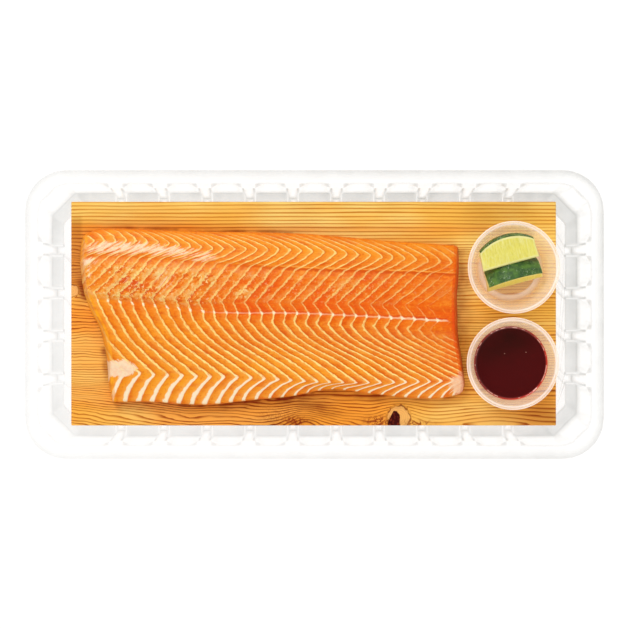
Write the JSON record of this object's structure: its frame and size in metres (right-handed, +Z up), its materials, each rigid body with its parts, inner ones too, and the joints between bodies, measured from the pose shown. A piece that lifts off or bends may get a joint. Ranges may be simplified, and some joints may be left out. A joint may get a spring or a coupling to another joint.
{
  "type": "cedar plank salmon",
  "caption": "Raw salmon fillet on a cedar plank in a clear ribbed tray, with a small pot of lime wedges and a small pot of dark glaze.",
  "frame": {"origin": "under the middle of the tray, on the plane that its pockets stand on", "axes": "+X along the tray towards the pots, +Y across it towards the back edge of the fillet and the lime pot, +Z up"},
  "size_m": [0.3864, 0.1934, 0.0452],
  "materials": {
    "clear_tray": "clear thermoformed sheet",
    "clear_pot": "slightly frosted clear plastic",
    "cedar": "sawn, unfinished",
    "salmon_flesh": "moist raw fish with pale fat lines",
    "lime": "waxy green rind, juicy pale yellow flesh",
    "glaze": "wet, dark maroon"
  },
  "bodies": {
    "root": {"tray": "clear_tray", "plank": "cedar", "fillet": "salmon_flesh", "lime_pot": "clear_pot", "lime_wedge_upper": "lime", "lime_wedge_lower": "lime", "glaze_pot": "clear_pot", "glaze": "glaze"}
  },
  "joints": []
}
